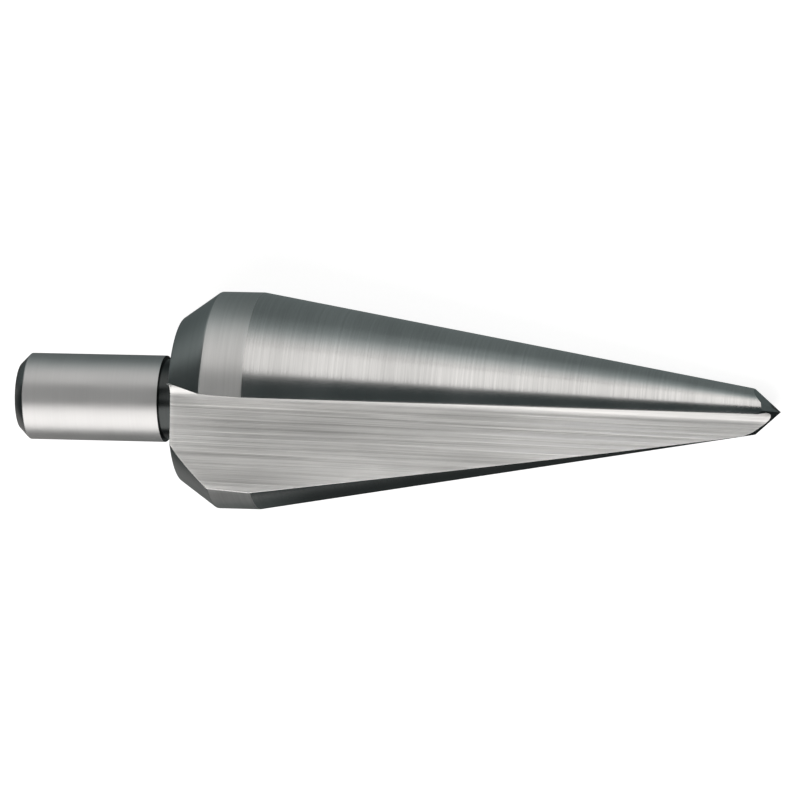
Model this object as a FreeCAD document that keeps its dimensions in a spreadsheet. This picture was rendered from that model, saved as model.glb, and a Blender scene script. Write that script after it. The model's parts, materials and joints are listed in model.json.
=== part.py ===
import FreeCAD, Part
import math
import os

import Sketcher
from FreeCAD import Placement, Rotation, Vector

# Cone drill bit for sheet metal and tube, turned and ground from one bar of tool steel. Its head is a
# long cone with two straight V flutes, so the hole grows steadily as the drill is fed in. In the
# tool's own frame X runs along the axis from the shank's end to the point, the first flute's floor
# faces +Z, and the flute's cutting edge lies close to the XZ plane.
# Lengths are in millimetres and angles in degrees.
SIZES = {
    "shank_diameter": 8.0,
    "shank_length": 13.75,
    "shank_end_chamfer": 0.95,
    "neck_diameter": 7.4,
    "neck_length": 1.75,
    "neck_fillet": 0.5,
    "rear_face_diameter": 15.15,
    "rear_taper_length": 3.45,
    "land_diameter": 20.0,
    "land_length": 3.9,
    "cone_length": 46.1,
    "cone_end_diameter": 4.1,
    "point_length": 2.05,
    # The chip flutes: the height of the flat floor over the axis and the sideways place of its root,
    # each where the cone starts, at the land, and where it ends, at the point.
    "flute_count": 2,
    "floor_height_at_land": 5.6,
    "floor_height_at_point": 0.2,
    "root_offset_at_land": 1.6,
    "root_offset_at_point": 0.3,
    "floor_tilt": 0.5,
    "rake_angle": 15.0,
    "root_radius": 1.2,
    # The gash that thins the web at the point, from its root at the tip.
    "gash_root_offset": 0.08,
    "gash_root_height": 0.46,
    "gash_floor_tilt": 32.0,
    "gash_wall_lean": 2.0,
    "gash_root_radius": 0.05,
    "gash_sideways_angle": 34.4,
    "gash_rise_angle": 1.8,
    # The facets ground on the point. Each pair is a roof across the axis: half its included angle, and
    # how far its steepest line is turned round the axis from the cutting edge.
    "relief_roof_angle": 51.0,
    "relief_turn": 30.0,
    "clearance_roof_angle": 41.5,
    "clearance_turn": 70.5,
    "point_grinding_stock": 0.5,
}

TO_CONE_END = ("shank_length", "neck_length", "rear_taper_length", "land_length", "cone_length")
TO_POINT = TO_CONE_END + ("point_length",)

# How many land diameters a cutting outline reaches past the axis, which clears the head.
CUT_REACH = 3.0


def make_sheet(doc):
    """Put the driving sizes in a spreadsheet, each with its own alias."""
    sheet = doc.addObject("Spreadsheet::Sheet", "Sizes")
    for row, (alias, value) in enumerate(SIZES.items(), start=1):
        sheet.set(f"A{row}", alias)
        sheet.set(f"B{row}", str(value))
        sheet.setAlias(f"B{row}", alias)
    doc.recompute()


def station(names):
    """Return the sum of some sizes along the axis, as a number and as a formula."""
    return sum(SIZES[name] for name in names), " + ".join(f"Sizes.{name}" for name in names)


def origin_feature(body, role):
    """Return one of the body's own origin planes or axes."""
    return next(item for item in body.Origin.OriginFeatures if item.Role == role)


def new_sketch(body, name, plane):
    """Start a sketch on one of the body's origin planes."""
    sketch = body.newObject("Sketcher::SketchObject", name)
    sketch.AttachmentSupport = [(origin_feature(body, plane), "")]
    sketch.MapMode = "FlatFace"
    return sketch


def add_outline(sketch, corners):
    """Draw a closed outline of straight lines through the corners and return the lines."""
    ends = corners[1:] + corners[:1]
    lines = [sketch.addGeometry(Part.LineSegment(Vector(*a, 0), Vector(*b, 0)), False)
             for a, b in zip(corners, ends)]
    for line, following in zip(lines, lines[1:] + lines[:1]):
        sketch.addConstraint(Sketcher.Constraint("Coincident", line, 2, following, 1))
    return lines


def hold(sketch, kind, *lines):
    """Give each line the same plain constraint, such as Horizontal."""
    for line in lines:
        sketch.addConstraint(Sketcher.Constraint(kind, line))


def bind(sketch, name, formula, *constraint):
    """Add a dimension and tie it to the sizes in the sheet."""
    index = sketch.addConstraint(Sketcher.Constraint(*constraint))
    sketch.renameConstraint(index, name)
    sketch.setExpression(f"Constraints.{name}", formula)


def turned_blank(body):
    """Revolve the shank, neck, rear taper, land and cone in one outline."""
    shank_radius = SIZES["shank_diameter"] / 2
    neck_radius = SIZES["neck_diameter"] / 2
    land_radius = SIZES["land_diameter"] / 2
    end_radius = SIZES["cone_end_diameter"] / 2
    chamfer = SIZES["shank_end_chamfer"]
    stations = [station(TO_POINT[:count])[0] for count in range(1, len(TO_CONE_END) + 1)]
    shank_rim, rear_face, land_rear, land_front, cone_end = stations
    ahead = SIZES["point_length"] + SIZES["point_grinding_stock"]
    nose_radius = end_radius - ahead * (land_radius - end_radius) / SIZES["cone_length"]

    sketch = new_sketch(body, "BlankOutline", "XZ_Plane")
    lines = add_outline(sketch, [
        (0.0, 0.0),
        (0.0, shank_radius - chamfer),
        (chamfer, shank_radius),
        (shank_rim, shank_radius),
        (shank_rim, neck_radius),
        (rear_face, neck_radius),
        (rear_face, SIZES["rear_face_diameter"] / 2),
        (land_rear, land_radius),
        (land_front, land_radius),
        (cone_end, end_radius),
        (cone_end + ahead, nose_radius),
        (cone_end + ahead, 0.0),
    ])
    shank_end, end_chamfer, shank, shoulder, neck, rear, taper, land, cone, nose, front, axis = lines
    sketch.addConstraint(Sketcher.Constraint("Coincident", shank_end, 1, -1, 1))
    hold(sketch, "Vertical", shank_end, shoulder, rear, front)
    hold(sketch, "Horizontal", shank, neck, land, axis)
    sketch.addConstraint(Sketcher.Constraint("Parallel", cone, nose))
    for name, line in (("shank_diameter", shank), ("neck_diameter", neck), ("land_diameter", land),
                       ("rear_face_diameter", taper), ("cone_end_diameter", nose)):
        bind(sketch, name, f"Sizes.{name} / 2", "DistanceY", -1, 1, line, 1, SIZES[name] / 2)
    for kind in ("DistanceX", "DistanceY"):
        bind(sketch, f"chamfer_{kind}", "Sizes.shank_end_chamfer", kind, end_chamfer, 1,
             end_chamfer, 2, chamfer)
    bind(sketch, "shank_length", "Sizes.shank_length", "DistanceX", -1, 1, shank, 2, shank_rim)
    for name, line in (("neck_length", neck), ("rear_taper_length", taper), ("land_length", land),
                       ("cone_length", cone)):
        bind(sketch, name, f"Sizes.{name}", "DistanceX", line, 1, line, 2, SIZES[name])
    bind(sketch, "nose_length", "Sizes.point_length + Sizes.point_grinding_stock",
         "DistanceX", nose, 1, nose, 2, ahead)

    blank = body.newObject("PartDesign::Revolution", "TurnedBlank")
    blank.Profile = sketch
    blank.ReferenceAxis = (origin_feature(body, "X_Axis"), [""])
    blank.Angle = 360.0
    return blank


def notch_section(body, name, names, root, floor_tilt, wall_lean, root_radius):
    """Draw a V across the axis: a floor that runs left of its root, and a wall that rises from it.

    names are the sizes that add up to its place along the axis, root the names of the root's two
    coordinates, and the last three the names of its angles and its radius.
    """
    sketch = new_sketch(body, name, "YZ_Plane")
    sketch.setExpression(".AttachmentOffset.Base.z", station(names)[1])
    reach = CUT_REACH * SIZES["land_diameter"]
    tilt = math.radians(SIZES[floor_tilt])
    lean = math.radians(SIZES[wall_lean])
    radius = SIZES[root_radius]
    corner = Vector(SIZES[root[0]], SIZES[root[1]], 0)
    along_floor = Vector(-math.cos(tilt), -math.sin(tilt), 0)
    along_wall = Vector(-math.sin(lean), math.cos(lean), 0)
    setback = radius / math.tan((math.pi / 2 - lean + tilt) / 2)
    floor_end = corner + along_floor * setback
    wall_start = corner + along_wall * setback
    far_floor = floor_end + along_floor * reach
    top_wall = wall_start + along_wall * reach
    outer = Vector(far_floor.x, top_wall.y, 0)
    centre = floor_end + Vector(-along_floor.y, along_floor.x, 0) * -radius

    floor = sketch.addGeometry(Part.LineSegment(far_floor, floor_end), False)
    circle = Part.Circle(centre, Vector(0, 0, 1), radius)
    bend = sketch.addGeometry(Part.ArcOfCircle(circle, tilt - math.pi / 2, lean), False)
    wall = sketch.addGeometry(Part.LineSegment(wall_start, top_wall), False)
    top = sketch.addGeometry(Part.LineSegment(top_wall, outer), False)
    side = sketch.addGeometry(Part.LineSegment(outer, far_floor), False)
    meeting = sketch.addGeometry(Part.Point(corner), True)
    for first, second in ((floor, bend), (bend, wall)):
        sketch.addConstraint(Sketcher.Constraint("Tangent", first, 2, second, 1))
    for first, second in ((wall, top), (top, side), (side, floor)):
        sketch.addConstraint(Sketcher.Constraint("Coincident", first, 2, second, 1))
    hold(sketch, "Horizontal", top)
    hold(sketch, "Vertical", side)
    for line in (floor, wall):
        sketch.addConstraint(Sketcher.Constraint("PointOnObject", meeting, 1, line))
        bind(sketch, f"reach_{line}", f"{CUT_REACH} * Sizes.land_diameter", "Distance", line, reach)
    bind(sketch, "root_offset", f"Sizes.{root[0]}", "DistanceX", -1, 1, meeting, 1, corner.x)
    bind(sketch, "root_height", f"Sizes.{root[1]}", "DistanceY", -1, 1, meeting, 1, corner.y)
    bind(sketch, "floor_angle", f"Sizes.{floor_tilt} * 1 deg", "Angle", floor, tilt)
    bind(sketch, "wall_angle", f"90 deg + Sizes.{wall_lean} * 1 deg", "Angle", wall, math.pi / 2 + lean)
    bind(sketch, "root_radius", f"Sizes.{root_radius}", "Radius", bend, radius)
    return sketch


def cut_through(body, name, sketch):
    """Cut a sketch's outline out of the body, all the way to both sides."""
    pocket = body.newObject("PartDesign::Pocket", name)
    pocket.Profile = sketch
    pocket.SideType = "Two sides"
    pocket.Type = "ThroughAll"
    pocket.Type2 = "ThroughAll"
    return pocket


def slant(pocket, sideways, rise):
    """Run a cut along a line that leaves the axis by these slopes, each a number and a formula."""
    pocket.UseCustomVector = True
    pocket.AlongSketchNormal = False
    pocket.Direction = Vector(1, sideways[0], rise[0])
    pocket.setExpression(".Direction.y", sideways[1])
    pocket.setExpression(".Direction.z", rise[1])


def fall(size):
    """Return the slope of a flute size between the land and the point, as a number and a formula."""
    drop = (SIZES[f"{size}_at_point"] - SIZES[f"{size}_at_land"]) / SIZES["cone_length"]
    return drop, f"(Sizes.{size}_at_point - Sizes.{size}_at_land) / Sizes.cone_length"


def tangent_of(angle):
    """Return the tangent of an angle size, as a number and as a formula."""
    return math.tan(math.radians(SIZES[angle])), f"tan(Sizes.{angle} * 1 deg)"


def cut_flutes(body):
    """Cut one flute and its gash at the point, and repeat the pair round the axis."""
    flute = cut_through(body, "Flute", notch_section(
        body, "FluteSection", TO_CONE_END, ("root_offset_at_point", "floor_height_at_point"),
        "floor_tilt", "rake_angle", "root_radius"))
    slant(flute, fall("root_offset"), fall("floor_height"))
    gash = cut_through(body, "Gash", notch_section(
        body, "GashSection", TO_POINT, ("gash_root_offset", "gash_root_height"),
        "gash_floor_tilt", "gash_wall_lean", "gash_root_radius"))
    slant(gash, tangent_of("gash_sideways_angle"), tangent_of("gash_rise_angle"))
    flutes = body.newObject("PartDesign::PolarPattern", "Flutes")
    flutes.Originals = [flute, gash]
    flutes.Axis = (origin_feature(body, "X_Axis"), [""])
    flutes.Angle = 360.0
    flutes.setExpression(".Occurrences", "Sizes.flute_count")
    body.Tip = flutes


def cut_roof(body, name, roof_angle, turn):
    """Grind one pair of facets: everything outside a roof whose ridge crosses the axis at the point."""
    sketch = new_sketch(body, f"{name}Outline", "XZ_Plane")
    sketch.AttachmentOffset = Placement(Vector(), Rotation(Vector(1, 0, 0), -SIZES[turn]))
    sketch.setExpression(".AttachmentOffset.Rotation.Angle", f"Sizes.{turn} * -1 deg")
    apex, apex_formula = station(TO_POINT)
    reach = SIZES["cone_end_diameter"]
    half_angle = math.radians(SIZES[roof_angle])
    height = reach * math.tan(half_angle)
    lines = add_outline(sketch, [(apex, 0.0), (apex - reach, height), (apex + reach, height),
                                 (apex + reach, -height), (apex - reach, -height)])
    slope, top, front, bottom, _ = lines
    hold(sketch, "Horizontal", top)
    sketch.addConstraint(Sketcher.Constraint("PointOnObject", slope, 1, -1))
    for upper, lower in ((slope, bottom), (top, front)):
        sketch.addConstraint(Sketcher.Constraint("Symmetric", upper, 2, lower, 2, -1))
    bind(sketch, "apex", apex_formula, "DistanceX", -1, 1, slope, 1, apex)
    bind(sketch, "behind", "Sizes.cone_end_diameter", "DistanceX", slope, 2, slope, 1, reach)
    bind(sketch, "ahead", "Sizes.cone_end_diameter", "DistanceX", slope, 1, top, 2, reach)
    bind(sketch, "half_angle", f"180 deg - Sizes.{roof_angle} * 1 deg", "Angle", slope,
         math.pi - half_angle)
    return cut_through(body, name, sketch)


def round_neck(body, blank):
    """Round the corner where the neck meets the head's rear face."""
    rear_face = station(TO_POINT[:2])[0]
    radius = SIZES["neck_diameter"] / 2
    for index, edge in enumerate(blank.Shape.Edges, start=1):
        if isinstance(edge.Curve, Part.Circle) and math.isclose(edge.Curve.Radius, radius, abs_tol=1e-6):
            if math.isclose(edge.Curve.Center.x, rear_face, abs_tol=1e-6):
                fillet = body.newObject("PartDesign::Fillet", "NeckFillet")
                fillet.Base = (blank, [f"Edge{index}"])
                fillet.Radius = SIZES["neck_fillet"]
                fillet.setExpression(".Radius", "Sizes.neck_fillet")
                return fillet
    raise ValueError("the neck has no corner at the head")


def make_drill(doc):
    """Build the drill along its own axis, in the order in which it is turned and ground."""
    body = doc.addObject("PartDesign::Body", "ConeDrill")
    body.Label = "cone_drill"
    blank = turned_blank(body)
    doc.recompute()
    round_neck(body, blank)
    doc.recompute()
    cut_flutes(body)
    doc.recompute()
    cut_roof(body, "Relief", "relief_roof_angle", "relief_turn")
    cut_roof(body, "Clearance", "clearance_roof_angle", "clearance_turn")
    doc.recompute()
    return body


def lowest(function, low, high, steps=40):
    """Return where a function with one valley is lowest, by shrinking the range to its golden section."""
    section = (math.sqrt(5) - 1) / 2
    for _ in range(steps):
        span = (high - low) * section
        if function(high - span) < function(low + span):
            high = low + span
        else:
            low = high - span
    return (low + high) / 2


def resting_placement(shape):
    """Lay the drill down as it comes to rest: on two edges of a flute, its centre of mass lowest."""
    points = [point for edge in shape.Edges for point in edge.discretize(Number=24)]
    centre = shape.Solids[0].CenterOfMass
    offsets = [point - centre for point in points]

    def down(roll, pitch):
        across = Vector(0, math.sin(roll), -math.cos(roll))
        return across * math.cos(pitch) + Vector(1, 0, 0) * math.sin(pitch)

    def height(roll, pitch):
        direction = down(roll, pitch)
        return max(direction.dot(offset) for offset in offsets)

    def best_pitch(roll):
        return lowest(lambda pitch: height(roll, pitch), -math.pi / 8, math.pi / 4)

    # The middle of the second flute's mouth, which the two edges span.
    land_radius = SIZES["land_diameter"] / 2
    heel = math.acos(SIZES["floor_height_at_land"] / land_radius)
    roll = lowest(lambda turn: height(turn, best_pitch(turn)), heel / 2 - math.pi / 8, heel / 2 + math.pi / 8)
    direction = down(roll, best_pitch(roll))
    forward = (Vector(1, 0, 0) - direction * direction.x).normalize()
    turning = Rotation(forward, Vector(), -direction, "ZXY").inverted()
    laid = Placement(Vector(), turning)
    box = shape.transformed(laid.toMatrix()).optimalBoundingBox(False, False)
    return Placement(Vector(-box.Center.x, -box.Center.y, -box.ZMin), turning)


def check(doc, body):
    """Stop where a feature failed or the solid isn't sound."""
    for item in doc.Objects:
        if "Invalid" in item.State or "Error" in item.State:
            raise ValueError(f"{item.Name} failed: {item.State}")
    if body.Shape.isNull() or not body.Shape.isValid() or len(body.Shape.Solids) != 1:
        raise ValueError("the drill isn't one sound solid")


def main():
    doc = FreeCAD.newDocument("ConeDrillBit")
    make_sheet(doc)
    drill = make_drill(doc)
    check(doc, drill)
    drill.Placement = resting_placement(drill.Shape)
    doc.recompute()
    check(doc, drill)
    os.makedirs("parts", exist_ok=True)
    drill.Shape.exportStep(f"parts/{drill.Label}.step")


main()
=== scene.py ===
import json
import math

import bmesh
import bpy
import numpy as np
from mathutils import Euler, Matrix, Vector


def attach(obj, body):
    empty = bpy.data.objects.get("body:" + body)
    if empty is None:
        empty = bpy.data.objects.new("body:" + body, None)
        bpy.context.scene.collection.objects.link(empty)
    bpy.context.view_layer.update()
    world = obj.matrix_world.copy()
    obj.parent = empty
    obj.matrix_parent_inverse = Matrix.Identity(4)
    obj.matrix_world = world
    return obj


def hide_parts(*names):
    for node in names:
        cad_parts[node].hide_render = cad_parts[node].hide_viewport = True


# The drill's sizes, the same as in the CAD source, in millimetres and degrees. The drill's own frame has
# X along its axis from the shank's end to the point, and the first flute opens towards +Z.
SHANK_RADIUS = 4.0
SHANK_LENGTH = 13.75
SHANK_CHAMFER = 0.95
NECK_RADIUS = 3.7
NECK_LENGTH = 1.75
NECK_FILLET = 0.5
REAR_FACE_RADIUS = 7.575
REAR_TAPER_LENGTH = 3.45
LAND_RADIUS = 10.0
LAND_LENGTH = 3.9
CONE_LENGTH = 46.1
CONE_END_RADIUS = 2.05
POINT_LENGTH = 2.05
FLOOR_HEIGHT = (5.6, 0.2)
ROOT_OFFSET = (1.6, 0.3)
FLOOR_TILT = 0.5
RAKE_ANGLE = 15.0
ROOT_RADIUS = 1.2
GASH_ROOT = (0.08, 0.46)
GASH_FLOOR_TILT = 32.0
GASH_WALL_LEAN = 2.0
GASH_ROOT_RADIUS = 0.05
GASH_SIDEWAYS_ANGLE = 34.4
GASH_RISE_ANGLE = 1.8
# Each facet of the point: its lean and its turn in degrees, and how far it stays clear of the apex.
FACETS = {"relief": (51.0, 30.0, 0.0), "clearance": (41.5, 70.5, 0.0), "heel": (33.7, 124.2, 0.02)}

REAR_FACE = SHANK_LENGTH + NECK_LENGTH
LAND_REAR = REAR_FACE + REAR_TAPER_LENGTH
LAND_FRONT = LAND_REAR + LAND_LENGTH
CONE_END = LAND_FRONT + CONE_LENGTH
APEX = CONE_END + POINT_LENGTH

# How far the edges are broken, and how finely the surfaces are divided.
CUTTING_EDGE = 0.035
TURNED_EDGE = 0.09
SHANK_EDGE = 0.07
EDGE_STEPS = 3
SHANK_SIDES = 144
ARC_STEPS = 110
FLOOR_STEPS = 12
ROOT_STEPS = 9
WALL_STEPS = 5
SMOOTH_ANGLE = 34.0
FACET_ANGLE = 8.0

# How the drill is rolled about its axis as it lies on the table. Its axis is in the record.
REST_ROLL = -27.0609

# The photograph's camera, fitted in the drill's own frame: the turn from the drill to the camera as a
# rotation vector, the place of the drill's origin across the view and the distance along it.
CAMERA_TURN = (0.0152605876, -0.195259706, -0.0201773817)
CAMERA_SHIFT = (-35.0202096, 0.411930221)
CAMERA_DISTANCE = 677.342914
CAMERA_LENS = 328.5
SENSOR_WIDTH = 36.0

MM = 0.001
LEAST_WEB = 0.03

# The tints of the dim and the bright parts of what the steel reflects.
SHADE_TINT = (0.82, 1.0, 1.0, 1.0)
LIGHT_TINT = (1.0, 0.968, 0.948, 1.0)

# The soft lights: angle round the drill in degrees, distance, width, length, power, and shift along X.
CARDS = {
    "far_card": (58.0, 0.45, 0.607, 0.46, 1.60, -0.07),
    "near_card": (163.5, 0.50, 0.29, 0.60, 0.57, 0.05),
    "left_card": (124.0, 0.55, 0.44, 0.40, 0.44, -0.30),
    "tip_card": (100.0, 0.10, 0.021, 0.060, 0.0022, 0.050),
}

# The glossy sheets beside the drill, in metres. Each has its strength, then its near edge as places along
# and across with a share of the strength, and then its rows as times the distance with a share of their own.
SHEET_HEIGHT = 0.0004
SHEETS = {
    "near_sheet": (0.95,
                   ((-0.6, 0.020, 0.05), (-0.22, 0.020, 0.05), (-0.12, 0.020, 1.0), (-0.024, 0.020, 1.0),
                    (-0.012, 0.033, 1.0), (0.020, 0.012, 1.0), (0.036, 0.008, 1.0), (0.6, 0.008, 1.0)),
                   ((0.1, 0.16), (0.6, 0.18), (1.0, 0.33), (2.0, 0.68), (5.0, 0.9), (40.0, 1.0))),
    "far_sheet": (0.30,
                  ((-0.6, -0.010, 0.05), (-0.20, -0.010, 0.05), (-0.12, -0.010, 1.0),
                   (-0.040, -0.010, 1.0), (-0.012, -0.010, 0.08), (0.6, -0.010, 0.08)),
                  ((0.1, 1.0), (1.0, 1.0), (60.0, 1.0))),
}

# The floor's paper as the object and as gloss see it, its glow for the camera, and the dim room.
FLOOR_HALF_SIZE = 6.0
PAPER = (0.45, 0.45, 0.45, 1.0)
PAPER_IN_GLOSS = (0.12, 0.12, 0.12, 1.0)
PAPER_GLOW = 0.88
ROOM = (0.028, 0.039, 0.040, 1.0)
WHITE = (1.0, 1.0, 1.0, 1.0)

# How much of the mixed grinding marks is the fine ones.
FINE_SHARE = 0.4

SHANK, SHANK_END, NECK, REAR, LAND, CONE, FLOOR, ROOT, WALL, EDGE, FLANK, GASH = range(12)


def leaning(angle):
    """Return the unit vector that leans left of the vertical by an angle in degrees."""
    return np.array([-math.sin(math.radians(angle)), math.cos(math.radians(angle))])


def falling(angle):
    """Return the unit vector that runs left and down by an angle in degrees."""
    return np.array([-math.cos(math.radians(angle)), -math.sin(math.radians(angle))])


def reach_circle(start, direction, radius):
    """Return where a line from inside a circle about the origin meets it."""
    along = start @ direction
    return start + direction * (-along + math.sqrt(along * along - start @ start + radius * radius))


def bend(start, corner, end, steps):
    """Return the inner points of a small curve that cuts a corner."""
    points = []
    for step in range(1, steps):
        t = step / steps
        points.append((1 - t) ** 2 * start + 2 * t * (1 - t) * corner + t * t * end)
    return points


def spread(start, end, steps):
    """Return evenly spaced points from a start up to, but without, an end."""
    return [start + (end - start) * step / steps for step in range(steps)]


def flute_root(x):
    """Return the place of the flute's root at a station."""
    share = (x - LAND_FRONT) / CONE_LENGTH
    height = FLOOR_HEIGHT[0] + share * (FLOOR_HEIGHT[1] - FLOOR_HEIGHT[0])
    return np.array([ROOT_OFFSET[0] + share * (ROOT_OFFSET[1] - ROOT_OFFSET[0]), max(height, LEAST_WEB)])


def fillet(corner, along_floor, along_wall, radius, setback, steps):
    """Return the points of the arc that joins a floor to a wall."""
    start = corner + along_floor * setback
    centre = start + np.array([along_floor[1], -along_floor[0]]) * radius
    first = math.atan2(*(start - centre)[::-1])
    last = math.atan2(*(corner + along_wall * setback - centre)[::-1])
    return [centre + radius * np.array([math.cos(a), math.sin(a)])
            for a in np.linspace(first, last, steps + 1)]


def section(x, radius, inset):
    """Return the head's outline at a station and the region of each stretch that follows a point."""
    root = flute_root(x) + np.array([inset, -inset])
    radius -= inset
    along_floor = falling(FLOOR_TILT)
    along_wall = leaning(RAKE_ANGLE)
    opening = math.radians(90 - RAKE_ANGLE + FLOOR_TILT)
    setback = ROOT_RADIUS / math.tan(opening / 2)
    edge = reach_circle(root, along_wall, radius)
    heel = reach_circle(root, along_floor, radius)
    dull = CUTTING_EDGE * (0.45 + 0.55 * radius / LAND_RADIUS)
    edge_angle = math.atan2(edge[1], edge[0])
    heel_angle = math.atan2(heel[1], heel[0])
    turn = dull / radius
    arc_start = radius * np.array([math.cos(edge_angle - turn), math.sin(edge_angle - turn)])
    arc_end = radius * np.array([math.cos(heel_angle + turn), math.sin(heel_angle + turn)])
    arc = fillet(root, along_floor, along_wall, ROOT_RADIUS, setback, ROOT_STEPS)
    floor_start = heel - along_floor * dull
    wall_end = edge - along_wall * dull

    points = [arc_end] + bend(arc_end, heel, floor_start, EDGE_STEPS)
    regions = [EDGE] * EDGE_STEPS
    points += spread(floor_start, arc[0], FLOOR_STEPS)
    regions += [FLOOR] * FLOOR_STEPS
    points += arc[:-1]
    regions += [ROOT] * ROOT_STEPS
    points += spread(arc[-1], wall_end, WALL_STEPS)
    regions += [WALL] * WALL_STEPS
    points += [wall_end] + bend(wall_end, edge, arc_start, EDGE_STEPS)
    regions += [EDGE] * EDGE_STEPS
    last_angle = heel_angle + turn - math.pi
    angles = np.linspace(edge_angle - turn, last_angle, ARC_STEPS + 1)[:-1]
    points += [radius * np.array([math.cos(a), math.sin(a)]) for a in angles]
    regions += [None] * ARC_STEPS
    return points + [-point for point in points], regions * 2


def rounded_corner(before, corner, after, size, steps):
    """Return profile points that round one corner of a turned profile."""
    before, corner, after = (np.array(point) for point in (before, corner, after))
    start = corner + (before - corner) * size / np.linalg.norm(before - corner)
    end = corner + (after - corner) * size / np.linalg.norm(after - corner)
    return [start] + bend(start, corner, end, steps) + [end]


def head_stations():
    """Return the stations of the head: place, radius, how far the outline is pulled in, and region."""
    rear_edge = (REAR_FACE, REAR_FACE_RADIUS)
    corners = [rear_edge, (LAND_REAR, LAND_RADIUS), (LAND_FRONT, LAND_RADIUS), (CONE_END, CONE_END_RADIUS)]
    slope = (CONE_END_RADIUS - LAND_RADIUS) / CONE_LENGTH
    beyond = APEX + 0.02
    tip = (beyond, CONE_END_RADIUS + slope * (beyond - CONE_END))

    stations = []
    for step in range(EDGE_STEPS):
        t = step / EDGE_STEPS
        stations.append((REAR_FACE + TURNED_EDGE * t * t, REAR_FACE_RADIUS + TURNED_EDGE * 0.7 * t * t,
                         TURNED_EDGE * (1 - t) ** 2, REAR))
    rear_joint = rounded_corner(rear_edge, corners[1], corners[2], TURNED_EDGE, EDGE_STEPS)
    front_joint = rounded_corner(corners[1], corners[2], corners[3], TURNED_EDGE, EDGE_STEPS)
    taper_start = np.array([REAR_FACE + TURNED_EDGE, REAR_FACE_RADIUS + TURNED_EDGE * 0.7])
    for start, end, steps, region in ((taper_start, rear_joint[0], 8, REAR),
                                      (rear_joint[-1], front_joint[0], 8, LAND),
                                      (front_joint[-1], np.array(tip), 46, CONE)):
        stations += [(*point, 0.0, region) for point in spread(start, end, steps)]
        if region == REAR:
            stations += [(*point, 0.0, REAR) for point in rear_joint[:-1]]
        if region == LAND:
            stations += [(*point, 0.0, LAND) for point in front_joint[:-1]]
    stations.append((*tip, 0.0, CONE))
    return stations


def bridge(mesh, first, second, regions):
    """Join two rings of vertices with quads, each with its own region."""
    count = len(first)
    for index, region in enumerate(regions):
        after = (index + 1) % count
        face = mesh.faces.new((first[index], first[after], second[after], second[index]))
        face.material_index = region


def add_head(mesh):
    """Loft the head through its stations and return its first ring."""
    rings = []
    stations = head_stations()
    for x, radius, inset, _ in stations:
        points, regions = section(x, radius, inset)
        rings.append([mesh.verts.new((x, *point)) for point in points])
    for (_, _, _, turned), first, second in zip(stations, rings, rings[1:]):
        bridge(mesh, first, second, [turned if region is None else region for region in regions])
    tip = mesh.faces.new(rings[-1])
    tip.material_index = FLANK
    bmesh.ops.triangulate(mesh, faces=[tip])
    return rings[0]


def shank_profile():
    """Return the turned profile from the shank's end to the head's rear face, with each stretch's region."""
    end_rim = (0.0, SHANK_RADIUS - SHANK_CHAMFER)
    front_rim = (SHANK_CHAMFER, SHANK_RADIUS)
    shoulder = (SHANK_LENGTH, SHANK_RADIUS)
    neck_start = (SHANK_LENGTH, NECK_RADIUS)
    profile = []
    for before, corner, after, region in (((0.0, 0.0), end_rim, front_rim, SHANK_END),
                                          (end_rim, front_rim, shoulder, SHANK),
                                          (front_rim, shoulder, neck_start, NECK)):
        joint = rounded_corner(before, corner, after, SHANK_EDGE, EDGE_STEPS)
        profile += [(point, region) for point in joint]
    profile.append((np.array(neck_start), NECK))
    centre = np.array([REAR_FACE - NECK_FILLET, NECK_RADIUS + NECK_FILLET])
    for angle in np.linspace(-math.pi / 2, 0, 7):
        offset = NECK_FILLET * np.array([math.cos(angle), math.sin(angle)])
        profile.append((centre + offset, NECK))
    return profile


def add_shank(mesh):
    """Turn the shank and the neck, and return the last ring, on the head's rear face."""
    angles = [2 * math.pi * side / SHANK_SIDES for side in range(SHANK_SIDES)]
    profile = shank_profile()
    rings = [[mesh.verts.new((x, radius * math.cos(a), radius * math.sin(a))) for a in angles]
             for (x, radius), _ in profile]
    for (_, region), first, second in zip(profile, rings, rings[1:]):
        bridge(mesh, first, second, [region] * SHANK_SIDES)
    inner = [mesh.verts.new((0.0, vertex.co.y * 0.5, vertex.co.z * 0.5)) for vertex in rings[0]]
    bridge(mesh, inner, rings[0], [SHANK_END] * SHANK_SIDES)
    mesh.faces.new(inner).material_index = SHANK_END
    return rings[-1]


def ring_edges(mesh, ring):
    """Return the edges that join the vertices of a ring in turn."""
    return [mesh.edges.get((a, b)) for a, b in zip(ring, ring[1:] + ring[:1])]


def facet_cutter(half_angle, turn, clear, side):
    """Build the block that a facet leaves on its far side, clear of the apex by a distance."""
    lean = math.radians(half_angle)
    swing = math.radians(turn)
    normal = Vector((math.sin(lean), side * math.cos(lean) * math.sin(swing),
                     side * math.cos(lean) * math.cos(swing)))
    size = 4 * CONE_END_RADIUS
    mesh = bmesh.new()
    place = Matrix.Translation(Vector((APEX, 0, 0)) + normal * (size / 2 + clear))
    turning = normal.to_track_quat("Z", "Y").to_matrix().to_4x4()
    bmesh.ops.create_cube(mesh, size=size, matrix=place @ turning)
    for face in mesh.faces:
        face.material_index = FLANK
    return mesh_object("facet_cutter", mesh)


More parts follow.
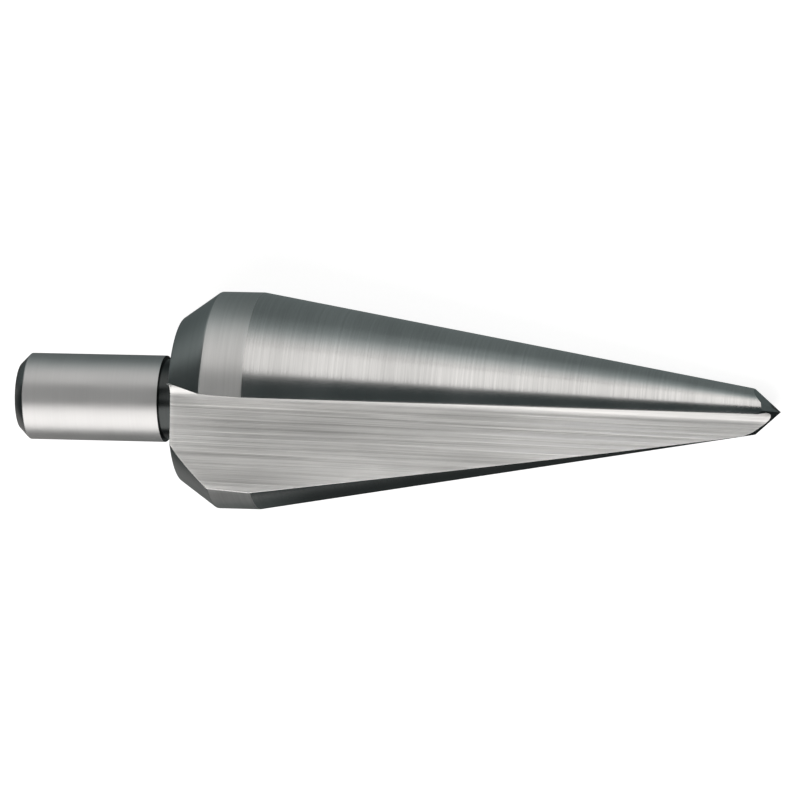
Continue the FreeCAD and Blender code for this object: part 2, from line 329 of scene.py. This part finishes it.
def gash_cutter(turn):
    """Build the V prism that thins the web, turned about the axis by an angle in degrees."""
    along_floor = falling(GASH_FLOOR_TILT)
    along_wall = leaning(GASH_WALL_LEAN)
    opening = math.radians(90 - GASH_WALL_LEAN + GASH_FLOOR_TILT)
    setback = GASH_ROOT_RADIUS / math.tan(opening / 2)
    arc = fillet(np.zeros(2), along_floor, along_wall, GASH_ROOT_RADIUS, setback, 6)
    reach = 7.0
    corner = along_floor * reach + along_wall * reach
    outline = [along_floor * reach] + arc + [along_wall * reach, corner]
    slope = np.array([math.tan(math.radians(GASH_SIDEWAYS_ANGLE)), math.tan(math.radians(GASH_RISE_ANGLE))])
    mesh = bmesh.new()
    ends = []
    for step in (-8.0, 3.0):
        ends.append([mesh.verts.new((APEX + step, *(np.array(GASH_ROOT) + slope * step + point)))
                     for point in outline])
    bridge(mesh, ends[0], ends[1], [GASH] * len(outline))
    for end in ends:
        mesh.faces.new(end).material_index = GASH
    bmesh.ops.rotate(mesh, verts=mesh.verts, matrix=Matrix.Rotation(math.radians(turn), 3, "X"))
    bmesh.ops.recalc_face_normals(mesh, faces=mesh.faces)
    return mesh_object("gash_cutter", mesh)


def mesh_object(name, mesh):
    """Turn a bmesh into a linked object."""
    data = bpy.data.meshes.new(name)
    mesh.to_mesh(data)
    mesh.free()
    thing = bpy.data.objects.new(name, data)
    bpy.context.scene.collection.objects.link(thing)
    return thing


def apply_modifiers(thing):
    """Bake an object's modifiers into its mesh."""
    graph = bpy.context.evaluated_depsgraph_get()
    data = bpy.data.meshes.new_from_object(thing.evaluated_get(graph))
    thing.modifiers.clear()
    thing.data = data


def grind_point(drill):
    """Grind the facets of the point, and cut the gash of each flute."""
    cutters = [facet_cutter(*facet, side) for facet in FACETS.values() for side in (1, -1)]
    cutters += [gash_cutter(turn) for turn in (0.0, 180.0)]
    for cutter in cutters:
        cut = drill.modifiers.new("cut", "BOOLEAN")
        cut.operation = "DIFFERENCE"
        cut.solver = "MANIFOLD"
        cut.object = cutter
    apply_modifiers(drill)
    for cutter in cutters:
        bpy.data.objects.remove(cutter)


def mark_sharp(mesh):
    """Keep the edges between facets hard, and the rest smooth up to an angle."""
    ground = (FLANK, GASH)
    for face in mesh.faces:
        face.smooth = True
    for edge in mesh.edges:
        if len(edge.link_faces) == 2:
            on_point = any(face.material_index in ground for face in edge.link_faces)
            limit = FACET_ANGLE if on_point else SMOOTH_ANGLE
            edge.smooth = edge.calc_face_angle() < math.radians(limit)


def grain_place(face, co):
    """Return a corner's place across and along the grinding marks, in millimetres."""
    region = face.material_index
    if region in (FLOOR, ROOT, WALL):
        side = 1 if face.calc_center_median().z > 0 else -1
        offset = side * np.array([co.y, co.z]) - flute_root(co.x)
        along_floor = falling(FLOOR_TILT)
        height = offset @ np.array([along_floor[1], -along_floor[0]])
        return height - offset @ along_floor, co.x
    if region == GASH:
        return co.z, co.x * 0.8 + co.y * 0.6
    if region == FLANK:
        across = face.normal.cross(Vector((1, 0, 0))).normalized()
        return co.dot(face.normal.cross(across)), co.dot(across)
    if region == SHANK_END and abs(face.normal.x) > 0.99:
        return co.z, co.y
    centre = face.calc_center_median()
    middle = math.atan2(centre.z, centre.y)
    turned = math.atan2(co.z, co.y) - middle
    turned = (turned + math.pi) % (2 * math.pi) - math.pi
    return co.x, (middle + turned) * math.hypot(co.y, co.z)


def lay_grain(mesh):
    """Map each face so that U runs across its grinding marks and V along them, one unit a centimetre."""
    layer = mesh.loops.layers.uv.new("grain")
    for face in mesh.faces:
        for loop in face.loops:
            across, along = grain_place(face, loop.vert.co)
            loop[layer].uv = (across / 10, along / 10)


def build_drill():
    """Build the whole drill in its own frame and lay it down where the record says."""
    mesh = bmesh.new()
    head_ring = add_head(mesh)
    shank_ring = add_shank(mesh)
    loops = ring_edges(mesh, head_ring) + ring_edges(mesh, shank_ring)
    filled = bmesh.ops.triangle_fill(mesh, edges=loops, use_beauty=True, normal=(-1, 0, 0))
    for item in filled["geom"]:
        if isinstance(item, bmesh.types.BMFace):
            item.material_index = REAR
    bmesh.ops.recalc_face_normals(mesh, faces=mesh.faces)
    drill = mesh_object("cone_drill_ground", mesh)
    for material in materials:
        drill.data.materials.append(material)
    grind_point(drill)

    mesh = bmesh.new()
    mesh.from_mesh(drill.data)
    bmesh.ops.triangulate(mesh, faces=[face for face in mesh.faces if len(face.verts) > 4])
    mark_sharp(mesh)
    lay_grain(mesh)
    bmesh.ops.transform(mesh, matrix=rest @ Matrix.Scale(MM, 4), verts=mesh.verts)
    mesh.to_mesh(drill.data)
    mesh.free()
    weigh = drill.modifiers.new("weigh_normals", "WEIGHTED_NORMAL")
    weigh.keep_sharp = True
    weigh.weight = 100
    apply_modifiers(drill)
    return drill


def rest_matrix(record):
    """Return where the drill lies, from the mount on the shank's end."""
    mount = next(item for item in record["mounts"] if item["name"] == "shank_end")
    axis = -Vector(mount["axis"])
    pitch = math.asin(-axis.z)
    turning = Euler((math.radians(REST_ROLL), pitch, 0.0), "XYZ")
    return Matrix.Translation(mount["pos_m"]) @ turning.to_matrix().to_4x4()


class Nodes:
    """A short way to add and join the nodes of one material."""

    def __init__(self, name):
        self.material = bpy.data.materials.new(name)
        self.material.use_nodes = True
        self.tree = self.material.node_tree
        self.tree.nodes.clear()

    def add(self, kind, settings=None, **inputs):
        node = self.tree.nodes.new(kind)
        for key, value in (settings or {}).items():
            setattr(node, key, value)
        for key, value in inputs.items():
            self.put(node.inputs[key.replace("_", " ")], value)
        return node

    def put(self, socket, value):
        if isinstance(value, bpy.types.NodeSocket):
            self.tree.links.new(value, socket)
        else:
            socket.default_value = value

    def math(self, operation, first, second=0.0, clamp=False):
        node = self.add("ShaderNodeMath", {"operation": operation, "use_clamp": clamp})
        self.put(node.inputs[0], first)
        self.put(node.inputs[1], second)
        return node.outputs[0]

    def span(self, value, low, high, reach=0.2):
        """Turn a value around a half into one between two limits."""
        node = self.add("ShaderNodeMapRange", {"clamp": True}, Value=value)
        for index, limit in enumerate((0.5 - reach, 0.5 + reach, low, high), start=1):
            node.inputs[index].default_value = limit
        return node.outputs[0]

    def noise(self, place, scale, detail=2.0, rough=0.5):
        mapping = self.add("ShaderNodeMapping", {"vector_type": "POINT"}, Vector=place, Scale=scale)
        return self.add("ShaderNodeTexNoise", Vector=mapping.outputs[0], Scale=1.0, Detail=detail,
                        Roughness=rough).outputs[0]


def drill_place(nodes):
    """Return the place in the drill's own frame, in millimetres."""
    place = nodes.add("ShaderNodeTexCoord").outputs["Object"]
    euler = rest.to_euler("XYZ")
    mapping = nodes.add("ShaderNodeMapping", {"vector_type": "TEXTURE"}, Vector=place,
                        Location=rest.translation, Rotation=euler, Scale=(MM, MM, MM))
    return mapping.outputs[0]


def steel(name, tone, roughness, anisotropy, marks, depth, streaks, on_grain=False, painted_light_rise=0.0):
    """Make ground steel.

    marks are the widths of the fine and coarse grinding marks and the length of the fine ones, in
    millimetres. depth is the relief of each in micrometres, and streaks says how strongly they change
    the colour and the gloss. The last argument is painted light: how much brighter the colour is made
    towards the point, where more light falls on the steel.
    """
    nodes = Nodes(name)
    along = nodes.add("ShaderNodeSeparateXYZ", Vector=drill_place(nodes)).outputs["X"]
    share = nodes.math("DIVIDE", nodes.math("SUBTRACT", along, LAND_FRONT), CONE_LENGTH)
    if on_grain:
        uv = nodes.add("ShaderNodeUVMap", {"uv_map": "grain"}).outputs[0]
        place = nodes.add("ShaderNodeMapping", {"vector_type": "POINT"}, Vector=uv,
                          Scale=(10, 10, 10)).outputs[0]
    else:
        place = drill_place(nodes)
    fine = nodes.noise(place, (1 / marks[0], 1 / marks[2], 1 / marks[2]), 3.0, 0.6)
    coarse = nodes.noise(place, (1 / marks[1], 0.03, 0.03), 2.0, 0.5)
    broad = nodes.noise(place, (0.28, 0.05, 0.05), 2.0, 0.5)
    cloud = nodes.noise(place, (0.2, 0.2, 0.2), 3.0, 0.5)
    mixed = nodes.math("ADD", nodes.math("MULTIPLY", fine, FINE_SHARE),
                       nodes.math("MULTIPLY", coarse, 1 - FINE_SHARE))
    shade = nodes.math("MULTIPLY", nodes.span(mixed, 1 - streaks, 1 + streaks),
                       nodes.span(broad, 1 - streaks * 0.6, 1 + streaks * 0.6))
    shade = nodes.math("MULTIPLY", shade, nodes.span(cloud, 0.97, 1.03))
    # Painted light: the colour is made brighter towards the point, where more light falls on the steel.
    shade = nodes.math("MULTIPLY", shade, nodes.span(share, 1 - painted_light_rise, 1 + painted_light_rise, 0.5))
    colour = nodes.add("ShaderNodeVectorMath", {"operation": "SCALE"})
    colour.inputs[0].default_value = tone
    nodes.put(colour.inputs["Scale"], shade)
    gloss = nodes.math("MULTIPLY", nodes.span(mixed, roughness * (1 + streaks), roughness * (1 - streaks)),
                       nodes.span(cloud, 0.92, 1.08))
    relief = nodes.math("ADD", nodes.math("MULTIPLY", fine, depth[0] * 1e-6),
                        nodes.math("MULTIPLY", coarse, depth[1] * 1e-6))
    bump = nodes.add("ShaderNodeBump", Strength=1.0, Distance=1.0, Height=relief)
    tangent = nodes.add("ShaderNodeTangent", {"direction_type": "UV_MAP", "uv_map": "grain"})
    shader = nodes.add("ShaderNodeBsdfPrincipled", Base_Color=colour.outputs[0], Metallic=1.0,
                       Roughness=gloss, Anisotropic=anisotropy, Normal=bump.outputs[0],
                       Tangent=tangent.outputs[0])
    output = nodes.add("ShaderNodeOutputMaterial")
    nodes.tree.links.new(shader.outputs[0], output.inputs[0])
    return nodes.material


def make_materials():
    """Return the drill's materials in the order of its regions."""
    bright = (0.66, 0.66, 0.655)
    ground = (0.90, 0.90, 0.89)
    dark = (0.44, 0.46, 0.46)
    # Painted shade: the neck's near-black tone stands in for the shadow that falls into its groove between
    # the shank and the head.
    painted_neck_shade = (0.055, 0.06, 0.06)
    return [
        steel("shank_steel", (0.595, 0.595, 0.595), 0.42, 0.1, (0.06, 0.2, 16), (0.2, 0.2), 0.02),
        steel("shank_end_steel", (0.28, 0.295, 0.295), 0.24, 0.0, (0.09, 0.4, 16), (0.4, 0.4), 0.05),
        # The neck's steel carries painted shade in its near-black tone.
        steel("neck_painted_shade_steel", painted_neck_shade, 0.24, 0.0, (0.09, 0.4, 16), (0.4, 0.4), 0.06),
        steel("rear_steel", (0.36, 0.38, 0.38), 0.34, 0.0, (0.10, 0.5, 16), (0.3, 0.2), 0.05),
        steel("land_steel", bright, 0.42, 0.4, (0.07, 0.3, 5), (0.9, 1.0), 0.07),
        # The cone and the flute floor are made brighter towards the point by painted light, their last
        # number.
        steel("cone_steel", bright, 0.23, 0.4, (0.07, 0.22, 3), (1.2, 1.6), 0.10, False, 0.05),
        steel("flute_floor_steel", ground, 0.55, 0.75, (0.10, 0.34, 16), (20.0, 75.0), 0.26, True, 0.16),
        steel("flute_root_steel", (0.72, 0.72, 0.715), 0.44, 0.7, (0.12, 0.40, 16), (8.0, 24.0), 0.16, True),
        steel("flute_wall_steel", bright, 0.46, 0.5, (0.12, 0.45, 16), (5.0, 12.0), 0.10, True),
        steel("edge_steel", (0.70, 0.705, 0.705), 0.22, 0.0, (0.10, 0.4, 16), (0.3, 0.4), 0.06),
        steel("flank_steel", dark, 0.24, 0.4, (0.08, 0.3, 3), (0.8, 1.0), 0.08, True),
        steel("gash_steel", dark, 0.20, 0.0, (0.08, 0.3, 3), (0.4, 0.5), 0.08, True),
    ]


def add_camera():
    """Place the camera where the photograph was taken from."""
    turn = Vector(CAMERA_TURN)
    rotation = Matrix.Rotation(turn.length, 3, turn.normalized())
    back = rotation.transposed()
    place = back @ Vector((-CAMERA_SHIFT[0], -CAMERA_SHIFT[1], CAMERA_DISTANCE))
    data = bpy.data.cameras.new("camera")
    data.sensor_width = SENSOR_WIDTH
    data.lens = CAMERA_LENS
    data.clip_start = 0.01
    data.clip_end = 10.0
    camera = bpy.data.objects.new("camera", data)
    bpy.context.scene.collection.objects.link(camera)
    camera.matrix_world = rest @ Matrix.Translation(place * MM) @ back.to_4x4()
    bpy.context.scene.camera = camera


def add_card(name, angle, distance, width, length, power, sideways):
    """Hang a soft light beside the drill.

    angle is in degrees round the drill, from the -Y side of the table over the top.
    """
    turn = math.radians(angle)
    data = bpy.data.lights.new(name, "AREA")
    data.shape = "RECTANGLE"
    data.size = length
    data.size_y = width
    data.energy = power
    data.color = LIGHT_TINT[:3]
    light = bpy.data.objects.new(name, data)
    bpy.context.scene.collection.objects.link(light)
    place = Vector((sideways, -math.cos(turn) * distance, math.sin(turn) * distance))
    light.location = place
    light.rotation_mode = "QUATERNION"
    light.rotation_quaternion = place.to_track_quat("Z", "Y")
    light.visible_camera = False


def add_sheet(name, strength, near_edge, rows):
    """Lay a sheet beside the drill that only its gloss sees, and that brightens away from the drill.

    near_edge lists places along and across with a share of the full strength, and each row says how many
    times as far out as that edge it runs, and its own share.
    """
    mesh = bmesh.new()
    glow_layer = mesh.verts.layers.float.new("glow")
    lines = []
    for reach, share in rows:
        lines.append([mesh.verts.new((x, y * reach, SHEET_HEIGHT)) for x, y, _ in near_edge])
        for vertex, (_, _, part) in zip(lines[-1], near_edge):
            vertex[glow_layer] = share * part
    for inner, outer in zip(lines, lines[1:]):
        for index in range(len(near_edge) - 1):
            mesh.faces.new((inner[index], inner[index + 1], outer[index + 1], outer[index]))
    sheet = mesh_object(name, mesh)
    nodes = Nodes(name)
    share = nodes.add("ShaderNodeAttribute", {"attribute_name": "glow"}).outputs["Fac"]
    tint = nodes.add("ShaderNodeMix", {"data_type": "RGBA"}, Factor=share)
    tint.inputs["A"].default_value = SHADE_TINT
    tint.inputs["B"].default_value = LIGHT_TINT
    glow = nodes.add("ShaderNodeEmission", Color=tint.outputs["Result"],
                     Strength=nodes.math("MULTIPLY", share, strength))
    output = nodes.add("ShaderNodeOutputMaterial")
    nodes.tree.links.new(glow.outputs[0], output.inputs[0])
    sheet.data.materials.append(nodes.material)
    for kind in ("camera", "diffuse", "transmission", "volume_scatter", "shadow"):
        setattr(sheet, f"visible_{kind}", False)


def add_floor():
    """Lay the pale floor under the drill, white for the camera and dimmer in the steel's gloss."""
    mesh = bmesh.new()
    bmesh.ops.create_grid(mesh, x_segments=1, y_segments=1, size=FLOOR_HALF_SIZE)
    floor = mesh_object("floor", mesh)
    nodes = Nodes("floor_white")
    light_path = nodes.add("ShaderNodeLightPath")
    paper = nodes.add("ShaderNodeBsdfDiffuse", Color=PAPER)
    dim_paper = nodes.add("ShaderNodeBsdfDiffuse", Color=PAPER_IN_GLOSS)
    glow = nodes.add("ShaderNodeEmission", Color=WHITE, Strength=PAPER_GLOW)
    lit = nodes.add("ShaderNodeAddShader")
    in_gloss = nodes.add("ShaderNodeMixShader", Fac=light_path.outputs["Is Glossy Ray"])
    choose = nodes.add("ShaderNodeMixShader", Fac=light_path.outputs["Is Camera Ray"])
    output = nodes.add("ShaderNodeOutputMaterial")
    for source, target in ((paper, lit.inputs[0]), (glow, lit.inputs[1]), (paper, in_gloss.inputs[1]),
                           (dim_paper, in_gloss.inputs[2]), (in_gloss, choose.inputs[1]),
                           (lit, choose.inputs[2]), (choose, output.inputs[0])):
        nodes.tree.links.new(source.outputs[0], target)
    floor.data.materials.append(nodes.material)


def add_room():
    """Put a dim room round the table, which the camera sees as white."""
    world = bpy.data.worlds.new("studio")
    bpy.context.scene.world = world
    world.use_nodes = True
    tree = world.node_tree
    tree.nodes.clear()
    path = tree.nodes.new("ShaderNodeLightPath")
    room = tree.nodes.new("ShaderNodeBackground")
    room.inputs["Color"].default_value = ROOM
    white = tree.nodes.new("ShaderNodeBackground")
    white.inputs["Color"].default_value = WHITE
    mix = tree.nodes.new("ShaderNodeMixShader")
    end = tree.nodes.new("ShaderNodeOutputWorld")
    tree.links.new(path.outputs["Is Camera Ray"], mix.inputs[0])
    tree.links.new(room.outputs[0], mix.inputs[1])
    tree.links.new(white.outputs[0], mix.inputs[2])
    tree.links.new(mix.outputs[0], end.inputs[0])


def add_lights():
    """Hang the soft lights and lay the glossy sheets."""
    for name, card in CARDS.items():
        add_card(name, *card)
    for name, sheet in SHEETS.items():
        add_sheet(name, *sheet)


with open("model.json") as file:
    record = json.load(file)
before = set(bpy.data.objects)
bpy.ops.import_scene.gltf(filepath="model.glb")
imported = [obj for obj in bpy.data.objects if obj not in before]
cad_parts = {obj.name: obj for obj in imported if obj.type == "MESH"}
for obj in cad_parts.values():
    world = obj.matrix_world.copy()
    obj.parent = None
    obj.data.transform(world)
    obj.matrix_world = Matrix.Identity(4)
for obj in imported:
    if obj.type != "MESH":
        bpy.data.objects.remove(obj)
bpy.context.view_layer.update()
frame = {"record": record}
rest = rest_matrix(frame["record"])
materials = make_materials()
drill = build_drill()
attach(drill, "root")
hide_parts("cone_drill")
add_floor()
add_room()
add_lights()
add_camera()
bpy.context.scene.view_settings.view_transform = "Standard"
